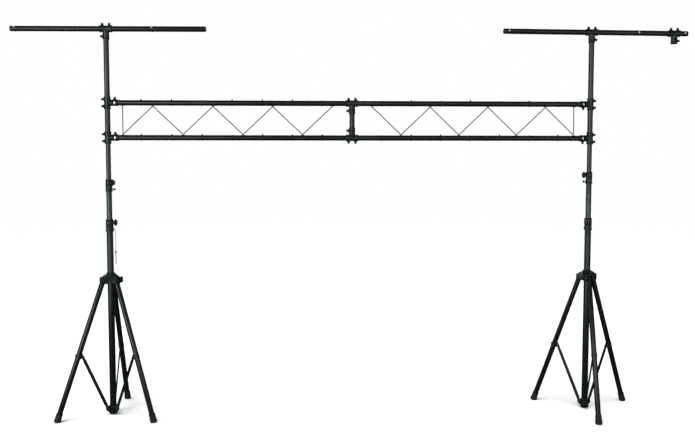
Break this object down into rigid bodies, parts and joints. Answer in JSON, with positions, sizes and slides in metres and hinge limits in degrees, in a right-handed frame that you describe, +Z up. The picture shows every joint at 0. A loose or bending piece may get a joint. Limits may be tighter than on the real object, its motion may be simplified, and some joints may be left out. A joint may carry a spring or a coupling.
{
  "type": "two-mast lighting stand with truss",
  "caption": "Portable stage lighting stand: telescoping tripod masts bridged by a flat truss, with T-bars on top and tee connectors.",
  "frame": {"origin": "on the ground, midway between the two masts, at the bottom centre of the box", "axes": "+X along the truss from the left mast to the right mast, +Y away from the front, +Z up"},
  "size_m": [4.4304, 0.7564, 2.5479],
  "materials": {
    "coated_tube": "satin black powder coat, faintly green",
    "cast_fittings": "satin black coat on castings",
    "web_rod": "dark grey coated rod",
    "plastic_knobs": "black moulded plastic",
    "rubber_feet": "black rubber",
    "zinc_hardware": "zinc plated steel"
  },
  "bodies": {
    "left_stand": {"left_column": "coated_tube", "left_hub": "cast_fittings", "left_lower_collar": "cast_fittings", "left_lower_lanyard": "zinc_hardware", "left_lower_pin": "zinc_hardware"},
    "left_middle": {"left_middle_tube": "coated_tube", "left_upper_collar": "cast_fittings"},
    "bridge": {"left_top_tube": "coated_tube", "left_upper_chord": "coated_tube", "left_lower_chord": "coated_tube", "left_web": "web_rod", "left_upper_truss_tee": "cast_fittings", "left_lower_truss_tee": "cast_fittings", "right_top_tube": "coated_tube", "right_upper_chord": "coated_tube", "right_lower_chord": "coated_tube", "right_web": "web_rod", "right_upper_truss_tee": "cast_fittings", "right_lower_truss_tee": "cast_fittings", "upper_centre_tee": "cast_fittings", "lower_centre_tee": "cast_fittings", "centre_post": "coated_tube"},
    "right_middle": {"right_middle_tube": "coated_tube", "right_upper_collar": "cast_fittings"},
    "right_stand": {"right_column": "coated_tube", "right_hub": "cast_fittings", "right_lower_collar": "cast_fittings"},
    "left_lower_knob": {"left_lower_knob": "plastic_knobs"},
    "left_upper_knob": {"left_upper_knob": "plastic_knobs"},
    "left_upper_pin": {"left_upper_pin": "zinc_hardware"},
    "right_lower_knob": {"right_lower_knob": "plastic_knobs"},
    "right_upper_knob": {"right_upper_knob": "plastic_knobs"},
    "right_upper_pin": {"right_upper_pin": "zinc_hardware"},
    "left_yoke": {"left_yoke": "cast_fittings"},
    "left_yoke_knob": {"left_yoke_knob": "plastic_knobs"},
    "left_leg_1": {"left_leg_1": "coated_tube", "left_foot_1": "rubber_feet"},
    "left_leg_2": {"left_leg_2": "coated_tube", "left_foot_2": "rubber_feet"},
    "left_leg_3": {"left_leg_3": "coated_tube", "left_foot_3": "rubber_feet"},
    "left_strut_1": {"left_strut_1": "coated_tube"},
    "left_strut_2": {"left_strut_2": "coated_tube"},
    "left_strut_3": {"left_strut_3": "coated_tube"},
    "right_yoke": {"right_yoke": "cast_fittings"},
    "right_yoke_knob": {"right_yoke_knob": "plastic_knobs"},
    "right_leg_1": {"right_leg_1": "coated_tube", "right_foot_1": "rubber_feet"},
    "right_leg_2": {"right_leg_2": "coated_tube", "right_foot_2": "rubber_feet"},
    "right_leg_3": {"right_leg_3": "coated_tube", "right_foot_3": "rubber_feet"},
    "right_strut_1": {"right_strut_1": "coated_tube"},
    "right_strut_2": {"right_strut_2": "coated_tube"},
    "right_strut_3": {"right_strut_3": "coated_tube"},
    "left_tbar_tee": {"left_tbar_tee": "cast_fittings"},
    "left_tbar": {"left_tbar": "coated_tube"},
    "right_tbar_tee": {"right_tbar_tee": "cast_fittings"},
    "right_tbar": {"right_tbar": "coated_tube"},
    "spare_tee": {"spare_tee": "cast_fittings"}
  },
  "joints": [
    {"name": "left_lower_stage", "type": "slide", "parent": "left_stand", "child": "left_middle", "axis": [0, 0, 1], "range_m": [-0.165, 0.55]},
    {"name": "left_upper_stage", "type": "slide", "parent": "left_middle", "child": "bridge", "axis": [0, 0, 1], "range_m": [-0.17, 0.48]},
    {"name": "right_upper_stage", "type": "slide", "parent": "bridge", "child": "right_middle", "axis": [0, 0, -1], "range_m": [-0.17, 0.48]},
    {"name": "right_lower_stage", "type": "slide", "parent": "right_middle", "child": "right_stand", "axis": [0, 0, -1], "range_m": [-0.165, 0.55]},
    {"name": "left_lower_knob_turn", "type": "hinge", "parent": "left_stand", "child": "left_lower_knob", "pos_m": [-1.55331, -0.00445, 1.274], "axis": [0.9903, -0.1392, 0], "continuous": true},
    {"name": "left_upper_knob_turn", "type": "hinge", "parent": "left_middle", "child": "left_upper_knob", "pos_m": [-1.56278, -0.01864, 1.534], "axis": [0.766, -0.6428, 0], "continuous": true},
    {"name": "right_lower_knob_turn", "type": "hinge", "parent": "right_stand", "child": "right_lower_knob", "pos_m": [1.569, -0.02771, 1.274], "axis": [-0.5, -0.866, 0], "continuous": true},
    {"name": "right_upper_knob_turn", "type": "hinge", "parent": "right_middle", "child": "right_upper_knob", "pos_m": [1.55644, -0.00504, 1.582], "axis": [-0.9848, -0.1736, 0], "continuous": true},
    {"name": "left_yoke_knob_turn", "type": "hinge", "parent": "left_yoke", "child": "left_yoke_knob", "pos_m": [-1.53026, 0.02911, 0.895], "axis": [0.8829, 0.4695, 0], "continuous": true},
    {"name": "right_yoke_knob_turn", "type": "hinge", "parent": "right_yoke", "child": "right_yoke_knob", "pos_m": [1.58997, 0.0618, 0.895], "axis": [0.0802, 0.9968, 0], "continuous": true},
    {"name": "left_upper_pin_pull", "type": "slide", "parent": "left_middle", "child": "left_upper_pin", "axis": [0.9703, -0.2419, 0], "range_m": [0, 0.03]},
    {"name": "right_upper_pin_pull", "type": "slide", "parent": "right_middle", "child": "right_upper_pin", "axis": [-0.9848, -0.1736, 0], "range_m": [0, 0.03]},
    {"name": "left_yoke_slide", "type": "slide", "parent": "left_stand", "child": "left_yoke", "axis": [0, 0, 1], "range_m": [0, 0.0495]},
    {"name": "left_leg_1_fold", "type": "hinge", "parent": "left_yoke", "child": "left_leg_1", "pos_m": [-1.58323, 0.05067, 0.893], "axis": [-0.9994, 0.0349, 0], "range_deg": [0, 17.06]},
    {"name": "left_leg_2_fold", "type": "hinge", "parent": "left_yoke", "child": "left_leg_2", "pos_m": [-1.62977, -0.0238, 0.893], "axis": [0.4695, -0.8829, 0], "range_deg": [0, 17.06]},
    {"name": "left_leg_3_fold", "type": "hinge", "parent": "left_yoke", "child": "left_leg_3", "pos_m": [-1.542, -0.02687, 0.893], "axis": [0.5299, 0.848, 0], "range_deg": [0, 17.06]},
    {"name": "left_strut_1_fold", "type": "hinge", "parent": "left_stand", "child": "left_strut_1", "pos_m": [-1.58374, 0.03598, 0.045], "axis": [0.9994, -0.0349, 0], "range_deg": [0, 22.6]},
    {"name": "left_strut_2_fold", "type": "hinge", "parent": "left_stand", "child": "left_strut_2", "pos_m": [-1.61679, -0.0169, 0.045], "axis": [-0.4695, 0.8829, 0], "range_deg": [0, 22.6]},
    {"name": "left_strut_3_fold", "type": "hinge", "parent": "left_stand", "child": "left_strut_3", "pos_m": [-1.55447, -0.01908, 0.045], "axis": [-0.5299, -0.848, 0], "range_deg": [0, 22.6]},
    {"name": "right_yoke_slide", "type": "slide", "parent": "right_stand", "child": "right_yoke", "axis": [0, 0, 1], "range_m": [0, 0.0495]},
    {"name": "right_leg_1_fold", "type": "hinge", "parent": "right_yoke", "child": "right_leg_1", "pos_m": [1.6308, 0.02175, 0.893], "axis": [-0.4289, 0.9033, 0], "range_deg": [0, 17.06]},
    {"name": "right_leg_2_fold", "type": "hinge", "parent": "right_yoke", "child": "right_leg_2", "pos_m": [1.54327, 0.02879, 0.893], "axis": [-0.5678, -0.8231, 0], "range_deg": [0, 17.06]},
    {"name": "right_leg_3_fold", "type": "hinge", "parent": "right_yoke", "child": "right_leg_3", "pos_m": [1.58093, -0.05054, 0.893], "axis": [0.9968, -0.0802, 0], "range_deg": [0, 17.06]},
    {"name": "right_strut_1_fold", "type": "hinge", "parent": "right_stand", "child": "right_strut_1", "pos_m": [1.61752, 0.01544, 0.045], "axis": [0.4289, -0.9033, 0], "range_deg": [0, 22.6]},
    {"name": "right_strut_2_fold", "type": "hinge", "parent": "right_stand", "child": "right_strut_2", "pos_m": [1.55537, 0.02044, 0.045], "axis": [0.5678, 0.8231, 0], "range_deg": [0, 22.6]},
    {"name": "right_strut_3_fold", "type": "hinge", "parent": "right_stand", "child": "right_strut_3", "pos_m": [1.58211, -0.03588, 0.045], "axis": [-0.9968, 0.0802, 0], "range_deg": [0, 22.6]},
    {"name": "left_tbar_swivel", "type": "hinge", "parent": "bridge", "child": "left_tbar_tee", "pos_m": [-1.585, 0, 2.5217], "axis": [0, 0, 1], "range_deg": [-180, 180]},
    {"name": "left_tbar_slide", "type": "slide", "parent": "left_tbar_tee", "child": "left_tbar", "axis": [0.9997, -0.0227, 0], "range_m": [-0.245, 0.5]},
    {"name": "right_tbar_swivel", "type": "hinge", "parent": "bridge", "child": "right_tbar_tee", "pos_m": [1.585, 0, 2.5217], "axis": [0, 0, 1], "range_deg": [-180, 180]},
    {"name": "right_tbar_slide", "type": "slide", "parent": "right_tbar_tee", "child": "right_tbar", "axis": [0.9992, 0.0401, 0], "range_m": [-0.2, 0.5]},
    {"name": "spare_tee_slide", "type": "slide", "parent": "right_tbar", "child": "spare_tee", "axis": [0.9992, 0.0401, 0], "range_m": [-0.195, 0.02]}
  ],
  "couplings": [
    {"joint": "right_upper_stage", "follows": "left_upper_stage", "ratio": 1},
    {"joint": "right_lower_stage", "follows": "left_lower_stage", "ratio": 1},
    {"joint": "left_leg_1_fold", "follows": "left_yoke_slide", "rad_per_m": 6.0076},
    {"joint": "left_leg_2_fold", "follows": "left_yoke_slide", "rad_per_m": 6.0076},
    {"joint": "left_leg_3_fold", "follows": "left_yoke_slide", "rad_per_m": 6.0076},
    {"joint": "left_strut_1_fold", "follows": "left_yoke_slide", "rad_per_m": 7.9597},
    {"joint": "left_strut_2_fold", "follows": "left_yoke_slide", "rad_per_m": 7.9597},
    {"joint": "left_strut_3_fold", "follows": "left_yoke_slide", "rad_per_m": 7.9597},
    {"joint": "right_leg_1_fold", "follows": "right_yoke_slide", "rad_per_m": 6.0076},
    {"joint": "right_leg_2_fold", "follows": "right_yoke_slide", "rad_per_m": 6.0076},
    {"joint": "right_leg_3_fold", "follows": "right_yoke_slide", "rad_per_m": 6.0076},
    {"joint": "right_strut_1_fold", "follows": "right_yoke_slide", "rad_per_m": 7.9597},
    {"joint": "right_strut_2_fold", "follows": "right_yoke_slide", "rad_per_m": 7.9597},
    {"joint": "right_strut_3_fold", "follows": "right_yoke_slide", "rad_per_m": 7.9597}
  ]
}
